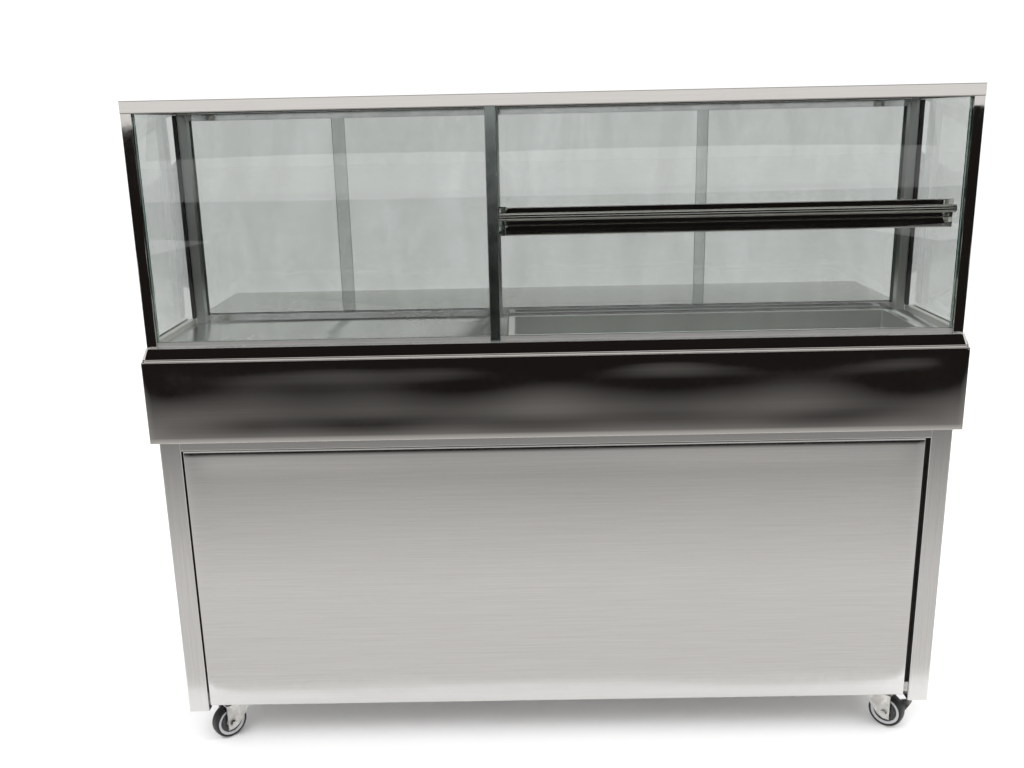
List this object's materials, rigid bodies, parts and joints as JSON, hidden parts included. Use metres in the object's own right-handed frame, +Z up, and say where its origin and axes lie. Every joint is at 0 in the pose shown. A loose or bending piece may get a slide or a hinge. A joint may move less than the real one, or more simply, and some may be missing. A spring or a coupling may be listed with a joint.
{
  "type": "bakery display case",
  "caption": "Glass bakery display case with sliding rear doors, an off-centre divider, a shelf and a recessed well, on a stainless counter cabinet with swivel casters.",
  "frame": {"origin": "on the floor at the middle of the overall footprint", "axes": "+X to the customer's right along the counter, +Y from the customer towards the server, +Z up"},
  "size_m": [1.524, 0.64, 1.279],
  "materials": {
    "polished_steel": "mirror polished stainless sheet and tube",
    "satin_steel": "satin stainless sheet, slightly wavy",
    "clear_glass": "clear float glass with ground edges",
    "zinc_steel": "zinc plated pressed steel",
    "grey_plastic": "moulded grey wheel centre",
    "black_rubber": "black rubber tread"
  },
  "bodies": {
    "counter": {"base_post_front_left": "satin_steel", "base_post_front_right": "satin_steel", "base_post_rear_left": "satin_steel", "base_post_rear_right": "satin_steel", "bottom_shelf": "satin_steel", "case_post_front_left": "polished_steel", "case_post_front_right": "polished_steel", "case_post_rear_left": "polished_steel", "case_post_rear_right": "polished_steel", "caster_plates": "zinc_steel", "divider_post_front": "polished_steel", "divider_post_rear": "polished_steel", "door_tracks": "polished_steel", "fascia_front": "polished_steel", "fascia_rear": "polished_steel", "fascia_sides": "polished_steel", "frame_rails_bottom": "satin_steel", "frame_rails_top": "satin_steel", "front_panel": "satin_steel", "glass_channels": "polished_steel", "glass_divider": "clear_glass", "glass_front_left": "clear_glass", "glass_front_right": "clear_glass", "glass_side_left": "clear_glass", "glass_side_right": "clear_glass", "glass_top": "clear_glass", "hinge_leaves_fixed": "zinc_steel", "mid_shelf": "satin_steel", "rear_mullion": "satin_steel", "shelf": "polished_steel", "shelf_brackets": "polished_steel", "side_panel_left": "satin_steel", "side_panel_right": "satin_steel", "top_rail_front": "polished_steel", "top_rail_rear": "polished_steel", "top_rail_sides": "polished_steel", "well_pan": "satin_steel", "worktop": "satin_steel"},
    "door_left_outer": {"sliding_door_left_outer": "clear_glass"},
    "door_left_inner": {"sliding_door_left_inner": "clear_glass"},
    "door_right_outer": {"sliding_door_right_outer": "clear_glass"},
    "door_right_inner": {"sliding_door_right_inner": "clear_glass"},
    "cabinet_door_left": {"cabinet_door_left": "satin_steel", "cabinet_handle_left": "satin_steel", "hinge_leaf_left": "zinc_steel"},
    "cabinet_door_right": {"cabinet_door_right": "satin_steel", "cabinet_handle_right": "satin_steel", "hinge_leaf_right": "zinc_steel"},
    "caster_front_left_fork": {"caster_fork_front_left": "zinc_steel"},
    "caster_front_left_wheel": {"caster_wheel_front_left": "grey_plastic", "caster_tyre_front_left": "black_rubber"},
    "caster_front_right_fork": {"caster_fork_front_right": "zinc_steel"},
    "caster_front_right_wheel": {"caster_wheel_front_right": "grey_plastic", "caster_tyre_front_right": "black_rubber"},
    "caster_rear_left_fork": {"caster_fork_rear_left": "zinc_steel"},
    "caster_rear_left_wheel": {"caster_wheel_rear_left": "grey_plastic", "caster_tyre_rear_left": "black_rubber"},
    "caster_rear_right_fork": {"caster_fork_rear_right": "zinc_steel"},
    "caster_rear_right_wheel": {"caster_wheel_rear_right": "grey_plastic", "caster_tyre_rear_right": "black_rubber"}
  },
  "joints": [
    {"name": "slide_left_outer", "type": "slide", "parent": "counter", "child": "door_left_outer", "axis": [1, 0, 0], "range_m": [0, 0.296]},
    {"name": "slide_left_inner", "type": "slide", "parent": "counter", "child": "door_left_inner", "axis": [1, 0, 0], "range_m": [-0.296, 0]},
    {"name": "slide_right_outer", "type": "slide", "parent": "counter", "child": "door_right_outer", "axis": [1, 0, 0], "range_m": [0, 0.401]},
    {"name": "slide_right_inner", "type": "slide", "parent": "counter", "child": "door_right_inner", "axis": [1, 0, 0], "range_m": [-0.401, 0]},
    {"name": "swing_left", "type": "hinge", "parent": "counter", "child": "cabinet_door_left", "pos_m": [-0.7085, 0.3, 0.374], "axis": [0, 0, 1], "range_deg": [0, 105]},
    {"name": "swing_right", "type": "hinge", "parent": "counter", "child": "cabinet_door_right", "pos_m": [0.7085, 0.3, 0.374], "axis": [0, 0, -1], "range_deg": [0, 105]},
    {"name": "swivel_front_left", "type": "hinge", "parent": "counter", "child": "caster_front_left_fork", "pos_m": [-0.664, -0.251, 0.08], "axis": [0, 0, 1], "continuous": true},
    {"name": "spin_front_left", "type": "hinge", "parent": "caster_front_left_fork", "child": "caster_front_left_wheel", "pos_m": [-0.68375, -0.26941, 0.035], "axis": [-0.682, 0.7314, 0], "continuous": true},
    {"name": "swivel_front_right", "type": "hinge", "parent": "counter", "child": "caster_front_right_fork", "pos_m": [0.664, -0.251, 0.08], "axis": [0, 0, 1], "continuous": true},
    {"name": "spin_front_right", "type": "hinge", "parent": "caster_front_right_fork", "child": "caster_front_right_wheel", "pos_m": [0.68498, -0.26799, 0.035], "axis": [-0.6293, -0.7771, 0], "continuous": true},
    {"name": "swivel_rear_left", "type": "hinge", "parent": "counter", "child": "caster_rear_left_fork", "pos_m": [-0.664, 0.239, 0.08], "axis": [0, 0, 1], "continuous": true},
    {"name": "spin_rear_left", "type": "hinge", "parent": "caster_rear_left_fork", "child": "caster_rear_left_wheel", "pos_m": [-0.68937, 0.24824, 0.035], "axis": [0.342, 0.9397, 0], "continuous": true},
    {"name": "swivel_rear_right", "type": "hinge", "parent": "counter", "child": "caster_rear_right_fork", "pos_m": [0.664, 0.239, 0.08], "axis": [0, 0, 1], "continuous": true},
    {"name": "spin_rear_right", "type": "hinge", "parent": "caster_rear_right_fork", "child": "caster_rear_right_wheel", "pos_m": [0.68847, 0.25041, 0.035], "axis": [0.4226, -0.9063, 0], "continuous": true}
  ]
}
